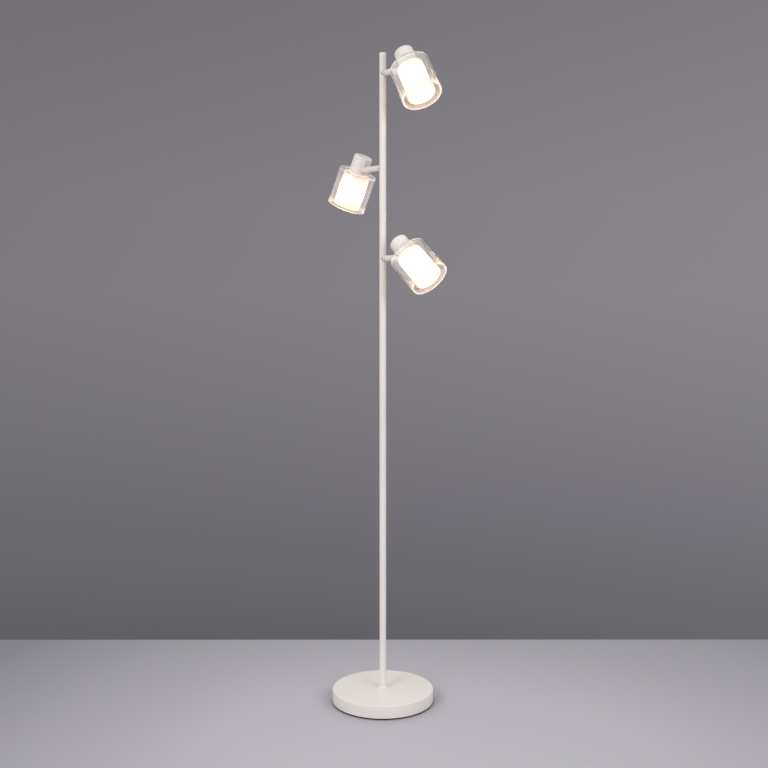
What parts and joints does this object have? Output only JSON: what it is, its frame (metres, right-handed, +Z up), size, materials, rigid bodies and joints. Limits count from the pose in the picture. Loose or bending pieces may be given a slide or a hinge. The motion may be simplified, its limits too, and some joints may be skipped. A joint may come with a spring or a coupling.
{
  "type": "floor lamp",
  "caption": "Tree floor lamp: round weighted base, slim pole and spot heads on swivelling arms, each with a clear and an opal glass shade.",
  "frame": {"origin": "on the floor, under the middle of the round base", "axes": "+Z up along the pole; the upper and lower arms point to +X and -Y, the middle arm to -X and +Y; the cord gland faces +Y"},
  "size_m": [0.2692, 0.3048, 1.5001],
  "materials": {
    "white_paint": "matt white powder coat",
    "clear_glass": "clear polished glass",
    "opal_glass": "white opal glass, lit from inside",
    "bulb_diffuser": "satin opal diffuser, lit",
    "nickel": "nickel-plated shell",
    "porcelain": "white glazed lampholder",
    "white_plastic": "moulded white plastic",
    "silicone": "pale silicone",
    "white_screw": "white coated screw",
    "zinc_steel": "zinc-plated steel",
    "cast_iron": "black-dipped casting",
    "white_rubber": "white grommet",
    "dark_nylon": "dark nylon washer",
    "black_foam": "black foam pad"
  },
  "bodies": {
    "stand": {"base_pad": "black_foam", "base_weight": "cast_iron", "base_cover": "white_paint", "base_rod": "zinc_steel", "base_washer": "zinc_steel", "base_nut": "zinc_steel", "cord_gland": "white_rubber", "foot_collar": "white_paint", "pole_lower": "white_paint", "pole_middle": "white_paint", "pole_upper": "white_paint", "pole_joiner_lower": "zinc_steel", "pole_joiner_upper": "zinc_steel", "foot_insert": "zinc_steel", "pole_top_cap": "white_paint", "stub_anchors": "zinc_steel", "swivel_washers": "dark_nylon", "swivel_nuts": "zinc_steel", "arm_stub_upper": "white_paint", "arm_stub_middle": "white_paint", "arm_stub_lower": "white_paint"},
    "arm_upper": {"swivel_arm_upper": "white_paint", "pivot_screw_upper": "white_screw"},
    "head_upper": {"knuckle_lug_upper": "white_paint", "socket_cap_upper": "white_paint", "holder_nipple_upper": "zinc_steel", "lampholder_upper": "porcelain", "clear_shade_upper": "clear_glass", "opal_shade_upper": "opal_glass", "shade_spacer_upper": "silicone", "shade_ring_upper": "white_plastic", "bulb_base_upper": "nickel", "bulb_glass_upper": "bulb_diffuser"},
    "arm_middle": {"swivel_arm_middle": "white_paint", "pivot_screw_middle": "white_screw"},
    "head_middle": {"knuckle_lug_middle": "white_paint", "socket_cap_middle": "white_paint", "holder_nipple_middle": "zinc_steel", "lampholder_middle": "porcelain", "clear_shade_middle": "clear_glass", "opal_shade_middle": "opal_glass", "shade_spacer_middle": "silicone", "shade_ring_middle": "white_plastic", "bulb_base_middle": "nickel", "bulb_glass_middle": "bulb_diffuser"},
    "arm_lower": {"swivel_arm_lower": "white_paint", "pivot_screw_lower": "white_screw"},
    "head_lower": {"knuckle_lug_lower": "white_paint", "socket_cap_lower": "white_paint", "holder_nipple_lower": "zinc_steel", "lampholder_lower": "porcelain", "clear_shade_lower": "clear_glass", "opal_shade_lower": "opal_glass", "shade_spacer_lower": "silicone", "shade_ring_lower": "white_plastic", "bulb_base_lower": "nickel", "bulb_glass_lower": "bulb_diffuser"}
  },
  "joints": [
    {"name": "swivel_upper", "type": "hinge", "parent": "stand", "child": "arm_upper", "pos_m": [0.00856, -0.01158, 1.454], "axis": [0.5948, -0.8039, 0], "range_deg": [-175, 175]},
    {"name": "tilt_upper", "type": "hinge", "parent": "arm_upper", "child": "head_upper", "pos_m": [0.03831, -0.05177, 1.454], "axis": [-0.8039, -0.5948, 0], "range_deg": [-32.6, 57.4]},
    {"name": "swivel_middle", "type": "hinge", "parent": "stand", "child": "arm_middle", "pos_m": [-0.00856, 0.01158, 1.245], "axis": [-0.5948, 0.8039, 0], "range_deg": [-181.5, 168.5]},
    {"name": "tilt_middle", "type": "hinge", "parent": "arm_middle", "child": "head_middle", "pos_m": [-0.03831, 0.05177, 1.245], "axis": [0.7987, 0.591, -0.1132], "range_deg": [-25.4, 64.6]},
    {"name": "swivel_lower", "type": "hinge", "parent": "stand", "child": "arm_lower", "pos_m": [0.00856, -0.01158, 1.0396], "axis": [0.5948, -0.8039, 0], "range_deg": [-187.8, 162.2]},
    {"name": "tilt_lower", "type": "hinge", "parent": "arm_lower", "child": "head_lower", "pos_m": [0.03831, -0.05177, 1.0396], "axis": [-0.7839, -0.58, -0.2215], "range_deg": [-46.3, 43.7]}
  ]
}
